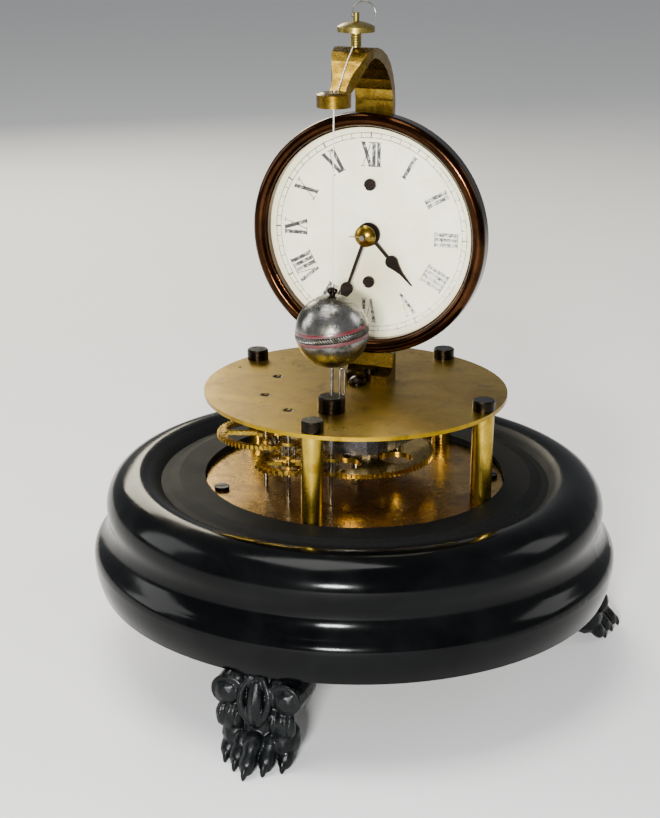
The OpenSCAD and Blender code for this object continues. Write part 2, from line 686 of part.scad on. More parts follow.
module regulator_wire() color(STEEL) translate([strap_x + 0.2, knob_y, hang_z + 19]) {
    translate([-1.2, 0, 0]) rotate([0, 90, 0]) cylinder(r = 0.16, h = 1.8, $fn = 24);
    arc_wire([[1.9, 0.6, 2.9, -40, 229]], 0.15);
}

module thread_lead() color(PAPER)
    wire([[strap_x + 0.2, knob_y - 2.2, hang_z + 12.12], [0.9, -8.7, hang_z + 11.2],
        [0.93, -11.25, hang_z + 9.38], [0.95, -13.8, hang_z + 7.14],
        [0.97, -15.7, hang_z + 5.0], [0.97, -17.8, hang_z + 3.55],
        [0.97, rotary_p[1], hang_z + 3.55], [0.97, rotary_p[1], hang_z + 0.3]], 0.13);

// ---------- dial ----------
module dial_pan() color(BRASS) on_dial(0) difference() {
    union() {
        translate([0, 0, -pan_y0 - 0.7]) cylinder(r = bezel_r - 0.65, h = 0.7, $fn = 128);
        difference() {
            translate([0, 0, -strap_y0]) cylinder(r = bezel_r - 0.65, h = 1, $fn = 128);
            translate([0, 0, -strap_y0 - 1]) cylinder(r = bezel_r - 1.35, h = 3, $fn = 128);
        }
    }
    translate([0, 0, -12]) cylinder(r = 1.9, h = 10, $fn = 64);
    for (s = [-1, 1]) translate([0, s * 12.35, -12]) cylinder(r = 0.8, h = 10, $fn = 32);
}

module dial_paper() color(PAPER) on_dial(0) difference() {
    translate([0, 0, -pan_y0]) cylinder(r = lip_r + 1, h = pan_y0 - face_y, $fn = 128);
    translate([0, 0, -12]) cylinder(r = 1.9, h = 10, $fn = 64);
    for (s = [-1, 1]) translate([0, s * 12.35, -12]) cylinder(r = 0.8, h = 10, $fn = 32);
}

module bezel() color(COPPER) on_dial(0) rotate_extrude($fn = 128) difference() {
    union() {
        translate([bezel_r - 1.65, -5.2]) circle(r = 1.65, $fn = 64);
        translate([lip_r, -face_y]) square([bezel_r - lip_r, face_y - 5.2]);
        translate([lip_r + 0.55, -5.3]) circle(r = 0.55, $fn = 32);
        translate([bezel_r - 0.6, -8.2]) square([0.6, 3]);
    }
    translate([0, -20]) square([lip_r, 40]);
}

module dial_screws() color(STEEL)
    for (s = [-1, 1]) translate([strap_x, 0, dial_z + s * 12.35]) rotate([90, 0, 0]) {
        translate([0, 0, -strap_y1 + 0.1]) cylinder(r = 0.7, h = strap_y1 - face_y, $fn = 32);
        translate([0, 0, -face_y]) rotate(35) screw_head(1.5, 0.8, 0.4);
    }

module minute_stud() color(STEEL) translate([strap_x, 0, dial_z - motion_a])
    rotate([-90, 0, 0]) {
        cyl(0.65, strap_y0 + 0.1, strap_y1 + 3.4);
        cyl(0.95, strap_y1 + 3.4, strap_y1 + 3.9);
    }

module cannon_pinion() color(STEEL) on_dial(strap_y1 + 2.9) linear_extrude(0.9) difference() {
    gear2d(cannon_n, cannon_pr, -90 + 180 / cannon_n, 0.25, 0.36);
    circle(r = hand_bore_r, $fn = 48);
}

module minute_wheel() color(BRASS) translate([strap_x, 0, dial_z - motion_a])
    rotate([90, 0, 0]) difference() {
        union() {
            translate([0, 0, -strap_y1 - 2.8]) linear_extrude(0.7) difference() {
                gear2d(minute_n, minute_pr, 90, 0.25, 0.36);
                for (a = [0, 90, 180, 270]) rotate(a) translate([3, 0])
                    circle(r = 1, $fn = 32);
            }
            translate([0, 0, -strap_y1 - 2.2]) linear_extrude(2)
                gear2d(minute_leaf_n, minute_leaf_pr, 90, 0.25, 0.36);
        }
        translate([0, 0, -strap_y1 - 5]) cylinder(r = 0.7, h = 8, $fn = 32);
    }

hour_pipe_r = 1.68;
module hour_wheel() color(BRASS) on_dial(0) difference() {
    union() {
        translate([0, 0, -strap_y1 - 1]) linear_extrude(0.8)
            gear2d(hour_n, hour_pr, -90 + 180 / hour_n, 0.25, 0.36);
        translate([0, 0, -strap_y1 - 1.6]) cylinder(r = hour_pipe_r, h = strap_y1 - 4.3, $fn = 64);
    }
    translate([0, 0, -20]) cylinder(r = 0.95, h = 30, $fn = 64);
}

// A spade hand: boss, shaft, spade and point, drawn towards twelve
module hand2d(boss, len, spade_at, spade_w, shaft_w) {
    circle(r = boss, $fn = 48);
    polygon([[-shaft_w / 2, 0], [shaft_w / 2, 0], [shaft_w * 0.4, spade_at],
        [-shaft_w * 0.4, spade_at]]);
    translate([0, spade_at]) scale([spade_w / 4, spade_w / 4]) union() {
        circle(r = 2, $fn = 48);
        polygon([[-1.95, 0.4], [1.95, 0.4], [1.15, 2.4], [0.5, 4.6],
            [0.14, 4 * (len - spade_at) / spade_w], [-0.14, 4 * (len - spade_at) / spade_w],
            [-0.5, 4.6], [-1.15, 2.4]]);
    }
}

module hour_hand() color(BLACK) on_dial(0) translate([0, 0, -6.5]) rotate(-hour_a)
    linear_extrude(0.45) difference() {
        hand2d(3, 16.8, 9, 3.3, 0.95);
        circle(r = hour_pipe_r, $fn = 48);
    }

module minute_hand() color(BLACK) on_dial(0) translate([0, 0, -4.2]) rotate(-minute_a)
    linear_extrude(0.45) difference() {
        hand2d(1.9, 23.4, 14.6, 3.3, 0.9);
        circle(r = 0.66, $fn = 48);
    }

module hand_collet() color(BRASS) on_dial(0) difference() {
    translate([0, 0, -3.7]) intersection() {
        translate([0, 0, -2.2]) sphere(r = 3.6, $fn = 64);
        cylinder(r = 2.75, h = 4, $fn = 64);
    }
    translate([0, 0, -9]) cylinder(r = 0.66, h = 12, $fn = 48);
}

module taper_pin() color(BRASS) on_dial(0) translate([-3.6, 0, pin_z]) rotate([0, 90, 0])
    cylinder(r1 = 0.12, r2 = 0.28, h = 6.2, $fn = 24);

// ---------- pendulum ----------
module thread_knot() color(IRON) translate([rotary_p[0], rotary_p[1], knot_z])
    sphere(r = knot_r, $fn = 32);

eye_z = ball_z + ball_r;
module suspension_thread() color(PAPER) at(rotary_p)
    cyl(thread_r, eye_z + 1.5, knot_z - knot_r);

band_tilt = 8;
band_h = 1.5;
module ball() color(SILVER) translate([rotary_p[0], rotary_p[1], ball_z]) difference() {
    sphere(r = ball_r, $fn = 96);
    rotate(20) rotate([0, -band_tilt, 0]) rotate_extrude($fn = 96)
        translate([ball_r - 0.35, -band_h / 2]) square([2, band_h]);
    translate([0, 0, ball_r - 1.6]) cylinder(r = 0.45, h = 3, $fn = 32);
    translate([0, 0, -ball_r - 1]) cylinder(r = pin_r, h = 3, $fn = 32);
}

module ball_band() color(SILVER) translate([rotary_p[0], rotary_p[1], ball_z])
    rotate(20) rotate([0, -band_tilt, 0]) rotate_extrude($fn = 96) intersection() {
        translate([ball_r - 0.35, -band_h / 2]) square([2, band_h]);
        circle(r = ball_r + 0.05, $fn = 96);
    }

module ball_eye() color(STEEL) translate([rotary_p[0], rotary_p[1], eye_z]) {
    translate([0, 0, -1.5]) cylinder(r = 0.45, h = 1.8, $fn = 32);
    difference() {
        union() {
            cylinder(r = 0.75, h = 0.5, $fn = 32);
            for (s = [-1, 1]) translate([s * 0.62, 0, 1.05]) sphere(r = 0.72, $fn = 32);
            translate([0, 0, 1]) cylinder(r = 0.45, h = 1, $fn = 32);
        }
        translate([0, 0, 1.5]) cylinder(r = thread_r + 0.01, h = 2, $fn = 24);
    }
}

module ball_pin() color(STEEL) at(rotary_p) difference() {
    cyl(pin_r, collar_top + 0.35, ball_z - ball_r + 2);
    for (i = [0:7]) translate([0, 0, collar_top + 0.95 + i * 0.8]) rotate_extrude($fn = 32)
        translate([pin_r - 0.12, 0]) square([1, 0.3]);
}

base();
foot_front();
foot_right();
foot_left();
foot_screws();
bottom_plate();
plate_screws();
pillars();
top_plate();
pillar_nuts();
great_wheel();
winding_arbor();
arbor_cap();
ratchet_wheel();
click();
click_rivets();
click_spring();
mainspring();
second_arbor();
second_shrouds();
second_wheel();
third_arbor();
third_shrouds();
third_wheel();
fourth_arbor();
fourth_shrouds();
fourth_wheel();
rotary_arbor();
rotary_shrouds();
crutch_collar();
crutch_wire();
drive_arbor();
drive_shrouds();
crown_wheel();
hand_arbor();
bracket();
bracket_screws();
back_cock();
regulator_screw();
regulator_wire();
thread_lead();
dial_pan();
dial_paper();
bezel();
dial_screws();
minute_stud();
cannon_pinion();
minute_wheel();
hour_wheel();
hour_hand();
minute_hand();
hand_collet();
taper_pin();
thread_knot();
suspension_thread();
ball();
ball_band();
ball_eye();
ball_pin();
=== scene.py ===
import math

import bmesh
import bpy
from mathutils import Matrix, Vector


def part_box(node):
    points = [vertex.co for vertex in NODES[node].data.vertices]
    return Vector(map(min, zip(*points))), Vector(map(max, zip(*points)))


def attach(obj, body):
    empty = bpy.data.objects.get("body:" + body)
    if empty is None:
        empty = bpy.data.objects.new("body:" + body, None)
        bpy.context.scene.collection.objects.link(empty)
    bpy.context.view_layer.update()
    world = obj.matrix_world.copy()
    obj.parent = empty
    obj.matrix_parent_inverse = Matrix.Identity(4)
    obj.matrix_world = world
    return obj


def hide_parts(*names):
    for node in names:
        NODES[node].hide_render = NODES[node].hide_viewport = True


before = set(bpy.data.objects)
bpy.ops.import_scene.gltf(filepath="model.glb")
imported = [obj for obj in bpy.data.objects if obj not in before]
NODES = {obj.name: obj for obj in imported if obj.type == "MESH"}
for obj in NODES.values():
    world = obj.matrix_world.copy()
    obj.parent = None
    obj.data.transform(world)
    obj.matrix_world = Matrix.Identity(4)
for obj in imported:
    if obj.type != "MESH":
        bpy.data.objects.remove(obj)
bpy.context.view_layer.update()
MM = 0.001


# ---------- camera, light, floor ----------
def look(azimuth, elevation, roll=0.0):
    """Rotation whose +Z looks back from the object at this azimuth and elevation."""
    a, e, r = map(math.radians, (azimuth, elevation, roll))
    back = Vector((math.sin(a) * math.cos(e), -math.cos(a) * math.cos(e), math.sin(e)))
    right = Vector((math.cos(a), math.sin(a), 0))
    up = back.cross(right)
    return Matrix((right * math.cos(r) + up * math.sin(r),
                   up * math.cos(r) - right * math.sin(r), back)).transposed().to_4x4()


cam_data = bpy.data.cameras.new("camera")
cam_data.sensor_width = 36
cam_data.lens = 72.66
cam_data.clip_start = 0.01
camera = bpy.data.objects.new("camera", cam_data)
camera.matrix_world = Matrix.Translation((0.13233, -0.37549, 0.19999)) @ look(20.344, 18.59, 0.4)
bpy.context.scene.collection.objects.link(camera)
bpy.context.scene.camera = camera


def softbox(name, azimuth, elevation, distance, size, power, colour=(1, 1, 1),
            target=(0, 0, 0.06)):
    data = bpy.data.lights.new(name, "AREA")
    data.shape = "RECTANGLE"
    data.size, data.size_y = size
    data.energy = power
    data.color = colour
    o = bpy.data.objects.new(name, data)
    turn = look(azimuth, elevation)
    o.matrix_world = Matrix.Translation(Vector(target) + turn.col[2].to_3d() * distance) @ turn
    bpy.context.scene.collection.objects.link(o)
    return o


softbox("key", 12, 14, 0.62, (0.09, 0.04), 8.0)
softbox("overhead", -35, 78, 0.75, (0.4, 0.4), 5.4, (1, 0.985, 0.96))
softbox("side", -75, 22, 0.8, (0.3, 0.5), 2.6)
softbox("rim", 118, 28, 0.9, (0.3, 0.4), 1.6)
softbox("back_left", 222, 25, 0.8, (0.35, 0.25), 3.6, (1, 0.93, 0.72))

world = bpy.data.worlds.new("studio")
bpy.context.scene.world = world
world.use_nodes = True
wt = world.node_tree
wt.nodes.clear()
w_out = wt.nodes.new("ShaderNodeOutputWorld")
w_mix = wt.nodes.new("ShaderNodeMixShader")
w_path = wt.nodes.new("ShaderNodeLightPath")
w_seen = wt.nodes.new("ShaderNodeBackground")
w_seen.inputs[0].default_value = (0.96, 0.96, 0.95, 1)
w_seen.inputs[1].default_value = 3.0
w_lit = wt.nodes.new("ShaderNodeBackground")
w_lit.inputs[0].default_value = (0.95, 0.97, 1, 1)
w_lit.inputs[1].default_value = 0.34
wt.links.new(w_path.outputs["Is Camera Ray"], w_mix.inputs[0])
wt.links.new(w_lit.outputs[0], w_mix.inputs[1])
wt.links.new(w_seen.outputs[0], w_mix.inputs[2])
wt.links.new(w_mix.outputs[0], w_out.inputs[0])


# ---------- node materials ----------
# the colour sockets of the Mix node share their names with its float and vector ones
MIX_A, MIX_B, MIX_RESULT = 6, 7, 2


class Mat:
    """A Principled material built from object coordinates, in millimetres."""

    def __init__(self, name, metallic=0.0, ior=1.45, coat=0.0, coat_rough=0.1):
        self.mat = bpy.data.materials.new(name)
        self.mat.use_nodes = True
        self.t = self.mat.node_tree
        self.t.nodes.clear()
        out = self.node("OutputMaterial")
        self.b = self.node("BsdfPrincipled")
        self.t.links.new(self.b.outputs[0], out.inputs[0])
        self.b.inputs["Metallic"].default_value = metallic
        self.b.inputs["IOR"].default_value = ior
        self.b.inputs["Coat Weight"].default_value = coat
        self.b.inputs["Coat Roughness"].default_value = coat_rough
        scale = self.node("VectorMath", operation="SCALE")
        self.t.links.new(self.node("TexCoord").outputs["Object"], scale.inputs[0])
        scale.inputs["Scale"].default_value = 1000
        self.pos = scale.outputs[0]
        sep = self.node("SeparateXYZ")
        self.t.links.new(self.pos, sep.inputs[0])
        self.x, self.y, self.z = sep.outputs
        self.normal = None

    def node(self, kind, **settings):
        n = self.t.nodes.new("ShaderNode" + kind)
        for k, v in settings.items():
            setattr(n, k, v)
        return n

    def put(self, socket, value):
        if isinstance(value, bpy.types.NodeSocket):
            self.t.links.new(value, socket)
        elif isinstance(value, tuple) and len(value) == 3 and socket.type == "RGBA":
            socket.default_value = (*value, 1)
        else:
            socket.default_value = value

    def math(self, op, a, b=0.0):
        n = self.node("Math", operation=op)
        for socket, v in zip(n.inputs, (a, b)):
            self.put(socket, v)
        return n.outputs[0]

    def fit(self, value, lo, hi, to_lo=0.0, to_hi=1.0):
        n = self.node("MapRange", clamp=True)
        for socket, v in zip(n.inputs, (value, lo, hi, to_lo, to_hi)):
            self.put(socket, v)
        return n.outputs[0]

    def stretch(self, scale=(1, 1, 1), turn=(0, 0, 0), at=(0, 0, 0)):
        n = self.node("Mapping")
        self.put(n.inputs[0], self.pos)
        n.inputs["Location"].default_value = at
        n.inputs["Rotation"].default_value = tuple(math.radians(v) for v in turn)
        n.inputs["Scale"].default_value = scale
        return n.outputs[0]

    def noise(self, size, detail=4, rough=0.55, warp=0.0, where=None):
        """Noise whose blotches are about `size` millimetres."""
        n = self.node("TexNoise")
        self.put(n.inputs["Vector"], self.pos if where is None else where)
        n.inputs["Scale"].default_value = 1 / size
        n.inputs["Detail"].default_value = detail
        n.inputs["Roughness"].default_value = rough
        n.inputs["Distortion"].default_value = warp
        return n.outputs["Fac"]

    def mix(self, a, b, fac):
        n = self.node("Mix", data_type="RGBA")
        self.put(n.inputs["Factor"], fac)
        self.put(n.inputs[MIX_A], a)
        self.put(n.inputs[MIX_B], b)
        return n.outputs[MIX_RESULT]

    def radius(self, cx=0.0, cy=0.0, a=None, b=None):
        dx = self.math("SUBTRACT", self.x if a is None else a, cx)
        dy = self.math("SUBTRACT", self.y if b is None else b, cy)
        return self.math("SQRT", self.math("ADD", self.math("MULTIPLY", dx, dx),
                                           self.math("MULTIPLY", dy, dy)))

    def bump(self, height, strength, depth):
        """Adds relief of about `depth` millimetres."""
        n = self.node("Bump")
        n.inputs["Strength"].default_value = strength
        n.inputs["Distance"].default_value = depth * MM
        self.put(n.inputs["Height"], height)
        if self.normal is not None:
            self.t.links.new(self.normal, n.inputs["Normal"])
        self.normal = n.outputs[0]

    def done(self, colour, rough):
        self.put(self.b.inputs["Base Color"], colour)
        self.put(self.b.inputs["Roughness"], rough)
        if self.normal is not None:
            self.t.links.new(self.normal, self.b.inputs["Normal"])
        return self.mat


SINK_R = 1.9  # where the dark ring round a pivot, old oil and painted shade of the sunk hollow, fades out


def metal(name, clean, aged, stain, rough=(0.22, 0.42), blotch=9.0, stain_at=(0.56, 0.72),
          grain=(1, 1, 1), grain_size=0.5, grain_depth=0.012, speck=0.5, seed=0.0, sinks=()):
    """Aged metal: blotched colour, stains, dark specks, grain and hairline scratches."""
    m = Mat(name, metallic=1.0)
    shift = m.stretch(at=(seed, seed * 1.7, seed * 0.6))
    cloud = m.noise(blotch, 5, 0.6, 0.4, shift)
    fine = m.noise(blotch * 0.12, 4, 0.65, 0.2, shift)
    colour = m.mix(clean, aged, m.fit(cloud, 0.36, 0.66))
    colour = m.mix(colour, stain, m.math("MULTIPLY", m.fit(m.noise(blotch * 0.45, 6, 0.7, 0.8, shift),
                                                          *stain_at), 0.8))
    colour = m.mix(colour, stain, m.math("MULTIPLY", m.fit(fine, 0.58, 0.8), speck))
    # painted shade and old oil: a near-black ring darkens the plate round each pivot
    for cx, cy in sinks:
        sink = m.fit(m.radius(cx, cy), SINK_R, SINK_R - 0.7)
        colour = m.mix(colour, (0.02, 0.012, 0.006), m.math("MULTIPLY", sink, 0.9))
    hair = m.noise(grain_size, 3, 0.6, 0, m.stretch(grain, (0, 0, 17), (seed, 0, 0)))
    marks = m.noise(grain_size * 2.2, 2, 0.5, 0, m.stretch(grain, (0, 0, 71), (0, seed, 3)))
    m.bump(hair, 0.5, grain_depth)
    m.bump(m.fit(marks, 0.62, 0.7), 0.35, grain_depth)
    m.bump(cloud, 0.3, 0.05)
    lo, hi = rough
    r = m.fit(m.math("ADD", cloud, m.math("MULTIPLY", fine, 0.6)), 0.55, 1.05, lo, hi)
    return m.done(colour, r)


BROWN = (0.10, 0.045, 0.008)


def centre(name):
    """Where the middle of a node lies in plan, in millimetres."""
    lo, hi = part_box(name)
    return (lo.x + hi.x) / 2 / MM, (lo.y + hi.y) / 2 / MM


PIVOTS = [centre(n + "_arbor") for n in ("second", "third", "fourth", "drive")]
plate_brass = metal("plate_brass", (0.37, 0.235, 0.010), (0.18, 0.10, 0.002), (0.05, 0.022, 0.001),
                    (0.26, 0.42), 14, (0.56, 0.74), (1, 12, 1), 1.6, 0.008, 0.5, sinks=PIVOTS)
low_brass = metal("low_brass", (0.40, 0.24, 0.035), (0.20, 0.10, 0.012), (0.05, 0.02, 0.004),
                  (0.2, 0.36), 9, (0.5, 0.7), (12, 1, 1), 1.6, 0.008, 0.7, 5.0)
pillar_brass = metal("pillar_brass", (0.46, 0.32, 0.04), (0.24, 0.145, 0.010), BROWN, (0.16, 0.32), 5,
                     (0.58, 0.75), (14, 14, 1), 1.2, 0.006, 0.3, 2.0)
strap_brass = metal("strap_brass", (0.26, 0.165, 0.02), (0.12, 0.066, 0.005), (0.035, 0.016, 0.002),
                    (0.18, 0.36), 3.5, (0.5, 0.7), (2, 2, 2), 1.3, 0.03, 0.6, 9.0)
wheel_brass = metal("wheel_brass", (0.5, 0.34, 0.05), (0.28, 0.17, 0.015), BROWN, (0.18, 0.34), 4,
                    (0.56, 0.74), (1, 1, 6), 0.8, 0.006, 0.5, 13.0)
knob_brass = metal("knob_brass", (0.3, 0.235, 0.06), (0.16, 0.12, 0.025), (0.04, 0.03, 0.01),
                   (0.25, 0.42), 2.2, (0.5, 0.7), (1, 1, 3), 0.5, 0.02, 0.7, 17.0)
copper = metal("copper", (0.045, 0.017, 0.006), (0.015, 0.0065, 0.0028), (0.008, 0.004, 0.0025),
               (0.09, 0.24), 11, (0.5, 0.72), (1, 1, 1), 0.9, 0.004, 0.4, 21.0)
nut_steel = metal("nut_steel", (0.016, 0.012, 0.0085), (0.007, 0.0055, 0.004), (0.05, 0.028, 0.009),
                  (0.2, 0.38), 2.5, (0.62, 0.8), (1, 1, 8), 0.6, 0.012, 0.3, 25.0)
arbor_steel = metal("arbor_steel", (0.22, 0.205, 0.18), (0.11, 0.098, 0.08), (0.05, 0.03, 0.015),
                    (0.16, 0.32), 2.0, (0.58, 0.76), (1, 1, 10), 0.5, 0.006, 0.4, 29.0)
spring_steel = metal("spring_steel", (0.26, 0.26, 0.28), (0.12, 0.12, 0.14), (0.1, 0.06, 0.03),
                     (0.18, 0.34), 3.0, (0.58, 0.76), (1, 1, 8), 0.7, 0.006, 0.4, 33.0)
black_hands = metal("black_hands", (0.03, 0.022, 0.018), (0.018, 0.014, 0.012), (0.07, 0.035, 0.02),
                    (0.28, 0.45), 1.6, (0.6, 0.8), (1, 1, 1), 0.4, 0.02, 0.5, 37.0)


def ebony():
    """Black lacquer on turned wood: dull dusty seat, glossy rolls, small chips and haze."""
    m = Mat("ebonised_wood", ior=1.2)
    r = m.radius()
    seat = m.fit(r, 53.4, 51.0)
    dust = m.fit(m.noise(0.55, 5, 0.75), 0.47, 0.66)
    haze = m.fit(m.noise(16, 4, 0.6, 0.6), 0.4, 0.68)
    chip = m.math("MULTIPLY", m.fit(m.noise(2.6, 6, 0.72, 0.9), 0.735, 0.75),
                  m.fit(m.z, 30, 44))
    colour = m.mix((0.0006, 0.0007, 0.0008), (0.0018, 0.002, 0.0022), haze)
    colour = m.mix(colour, (0.005, 0.0055, 0.005), m.math("MULTIPLY", seat, dust))
    colour = m.mix(colour, (0.13, 0.075, 0.03), chip)
    rings = m.node("TexWave", wave_type="RINGS", rings_direction="Z")
    m.put(rings.inputs["Vector"], m.pos)
    rings.inputs["Scale"].default_value = 0.11
    rings.inputs["Distortion"].default_value = 1.2
    m.bump(m.noise(0.9, 4, 0.6), 0.25, 0.012)
    m.bump(m.noise(26, 2, 0.5), 0.5, 0.25)
    m.bump(rings.outputs["Fac"], 0.12, 0.01)
    m.bump(m.math("MULTIPLY", seat, m.noise(0.7, 5, 0.7)), 0.6, 0.05)
    rough = m.math("ADD", m.fit(haze, 0, 1, 0.12, 0.2), m.math("MULTIPLY", seat, 0.5))
    return m.done(colour, rough)


def cast_iron():
    m = Mat("black_casting", ior=1.24)
    cloud = m.noise(3.5, 5, 0.6, 0.3)
    colour = m.mix((0.0012, 0.0016, 0.0018), (0.004, 0.005, 0.0054), m.fit(cloud, 0.4, 0.66))
    colour = m.mix(colour, (0.09, 0.075, 0.06), m.fit(m.noise(0.8, 6, 0.72), 0.66, 0.76))
    m.bump(m.noise(0.5, 5, 0.65), 0.5, 0.05)
    m.bump(m.noise(1.6, 4, 0.6, 0.5), 0.4, 0.15)
    return m.done(colour, m.fit(m.noise(1.2, 4, 0.6), 0.35, 0.7, 0.22, 0.5))


def old_paper(cx, cz, radius):
    """Cream dial paper: fibres, foxing, a rub of grime at the lower screw, darker and yellower towards the
    rim.
    """
    m = Mat("dial_paper", ior=1.4)
    r = m.radius(cx, cz, m.x, m.z)
    low = m.radius(cx, cz - 11.0, m.x, m.z)
    cloud = m.noise(8, 5, 0.6, 0.3)
    colour = m.mix((0.90, 0.88, 0.66), (0.80, 0.765, 0.50), m.fit(cloud, 0.35, 0.7))
    colour = m.mix(colour, (0.55, 0.46, 0.24), m.math("MULTIPLY", m.fit(low, 12, 1.5), 0.6))
    colour = m.mix(colour, (0.72, 0.62, 0.38), m.math("MULTIPLY", m.fit(r, radius * 0.9, radius), 0.75))
    foxing = m.fit(m.noise(0.9, 6, 0.7), 0.66, 0.78)
    colour = m.mix(colour, (0.42, 0.33, 0.18), m.math("MULTIPLY", foxing, 0.55))
    fibre = m.fit(m.noise(0.35, 4, 0.7), 0.6, 0.75)
    colour = m.mix(colour, (0.5, 0.47, 0.38), m.math("MULTIPLY", fibre, 0.35))
    m.bump(m.noise(0.3, 5, 0.7), 0.35, 0.02)
    m.bump(m.noise(5, 3, 0.5), 0.3, 0.08)
    return m.done(colour, m.fit(cloud, 0.3, 0.7, 0.5, 0.7))


def worn_ink(cx, cz):
    """Printed black, rubbed away in flecks and most of all towards the right."""
    m = Mat("worn_ink", ior=1.4)
    fade = m.fit(m.x, cx - 8, cx + 14, 0.0, 0.09)
    top = m.fit(m.z, cz - 10, cz + 16, 0.035, -0.03)
    wear = m.math("ADD", m.noise(0.85, 6, 0.75), m.math("ADD", fade, top))
    colour = m.mix((0.035, 0.033, 0.03), (0.62, 0.61, 0.53), m.fit(wear, 0.52, 0.66))
    m.bump(m.noise(0.3, 4, 0.7), 0.3, 0.01)
    return m.done(colour, 0.55)


def pewter():
    m = Mat("silvered_ball", metallic=1.0)
    cloud = m.noise(4.5, 5, 0.62, 0.6)
    pits = m.fit(m.noise(0.55, 4, 0.65), 0.56, 0.7)
    colour = m.mix((0.26, 0.255, 0.24), (0.05, 0.048, 0.038), m.fit(cloud, 0.38, 0.6))
    tarnish = m.fit(m.noise(1.4, 6, 0.7, 0.6), 0.58, 0.72)
    colour = m.mix(colour, (0.16, 0.14, 0.1), m.math("MULTIPLY", tarnish, 0.7))
    colour = m.mix(colour, (0.06, 0.055, 0.045), m.math("MULTIPLY", pits, 0.5))
    m.bump(pits, -0.5, 0.04)
    m.bump(m.noise(2.0, 4, 0.6), 0.4, 0.1)
    m.bump(m.fit(m.noise(0.7, 2, 0.5, 0, m.stretch((1, 9, 1), (20, 40, 10))), 0.6, 0.68), 0.3, 0.02)
    return m.done(colour, m.fit(cloud, 0.3, 0.7, 0.2, 0.36))


def lacquer(name, a, b):
    m = Mat(name, ior=1.5, coat=0.4, coat_rough=0.2)
    colour = m.mix(a, b, m.fit(m.noise(0.9, 5, 0.65), 0.4, 0.65))
    m.bump(m.noise(0.5, 4, 0.6), 0.4, 0.03)
    return m.done(colour, m.fit(m.noise(1.5, 3), 0.35, 0.65, 0.25, 0.45))


def silk(name, light, dark, lean=60):
    """Twisted thread: slanted strands along Z, fibres between them."""
    m = Mat(name, ior=1.4)
    cx, cy = centre("suspension_thread")
    turn = m.math("ARCTAN2", m.math("SUBTRACT", m.y, cy), m.math("SUBTRACT", m.x, cx))
    twist = m.math("SINE", m.math("ADD", m.math("MULTIPLY", m.z, lean / 6), m.math("MULTIPLY", turn, 3)))
    colour = m.mix(dark, light, m.fit(twist, -1, 0.4))
    grime = m.fit(m.noise(0.6, 5, 0.7), 0.6, 0.75)
    colour = m.mix(colour, (0.4, 0.36, 0.28), m.math("MULTIPLY", grime, 0.4))
    m.bump(twist, 0.5, 0.04)
    return m.done(colour, m.fit(m.noise(0.3, 3), 0.3, 0.7, 0.6, 0.8))


paper_lo, paper_hi = (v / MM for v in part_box("dial_paper"))
DIAL_X = (paper_lo.x + paper_hi.x) / 2
DIAL_Z = (paper_lo.z + paper_hi.z) / 2
FACE_Y = paper_lo.y
LIP_R = (paper_hi.x - paper_lo.x) / 2 - 1.0

wood = ebony()
iron = cast_iron()
paper = old_paper(DIAL_X, DIAL_Z, LIP_R)
ink = worn_ink(DIAL_X, DIAL_Z)
silver = pewter()
red = lacquer("red_line", (0.10, 0.004, 0.008), (0.04, 0.003, 0.005))
thread = silk("silk_thread", (0.78, 0.76, 0.68), (0.45, 0.42, 0.35))

FINISH = {
    "base": wood, "foot_front": iron, "foot_right": iron, "foot_left": iron,
    "foot_screws": nut_steel, "bottom_plate": low_brass, "plate_screws": nut_steel,
    "pillars": pillar_brass, "top_plate": plate_brass, "pillar_nuts": nut_steel,
    "great_wheel": wheel_brass, "winding_arbor": arbor_steel, "arbor_cap": nut_steel,
    "ratchet_wheel": arbor_steel, "click": arbor_steel, "click_rivets": arbor_steel,
    "click_spring": spring_steel, "mainspring": spring_steel,
    "second_arbor": arbor_steel, "second_shrouds": wheel_brass, "second_wheel": wheel_brass,
    "third_arbor": arbor_steel, "third_shrouds": wheel_brass, "third_wheel": wheel_brass,
    "fourth_arbor": arbor_steel, "fourth_shrouds": wheel_brass, "fourth_wheel": wheel_brass,
    "rotary_arbor": arbor_steel, "rotary_shrouds": wheel_brass,
    "crutch_collar": nut_steel, "crutch_wire": arbor_steel,
    "drive_arbor": arbor_steel, "drive_shrouds": wheel_brass, "crown_wheel": wheel_brass,
    "hand_arbor": arbor_steel, "bracket": strap_brass, "bracket_screws": nut_steel,
    "back_cock": strap_brass, "regulator_screw": knob_brass, "regulator_wire": arbor_steel,
    "thread_lead": thread, "dial_pan": strap_brass, "dial_paper": paper, "bezel": copper,
    "dial_screws": black_hands, "minute_stud": arbor_steel, "cannon_pinion": arbor_steel,
    "minute_wheel": wheel_brass, "hour_wheel": wheel_brass, "hour_hand": black_hands,
    "minute_hand": black_hands, "hand_collet": strap_brass, "taper_pin": knob_brass,
    "thread_knot": thread, "suspension_thread": thread, "ball": silver, "ball_band": silver,
    "ball_eye": nut_steel, "ball_pin": arbor_steel,
}
for name, node in NODES.items():
    for s in node.material_slots:
        s.material = FINISH[name]


# ---------- mesh helpers ----------
def add_piece(name, bm, body, material, smooth=True):
    """Makes the mesh, drawn in millimetres, an object that rides on a CAD body."""
    mesh = bpy.data.meshes.new(name)
    bmesh.ops.scale(bm, vec=(MM,) * 3, verts=bm.verts)
    bm.to_mesh(mesh)
    bm.free()
    return place_mesh(name, mesh, body, material, smooth)


def place_mesh(name, mesh, body, material, smooth=True):
    for p in mesh.polygons:
        p.use_smooth = smooth
    o = bpy.data.objects.new(name, mesh)
    bpy.context.scene.collection.objects.link(o)
    o.data.materials.clear()
    o.data.materials.append(material)
    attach(o, body)
    return o


def blob(bm, at, size, detail=2):
    """An ellipsoid with half sizes `size`."""
    size = Vector(size) if hasattr(size, "__len__") else Vector((size,) * 3)
    m = Matrix.Translation(Vector(at)) @ Matrix.Diagonal((*size, 1))
    bmesh.ops.create_icosphere(bm, subdivisions=detail, radius=1, matrix=m)


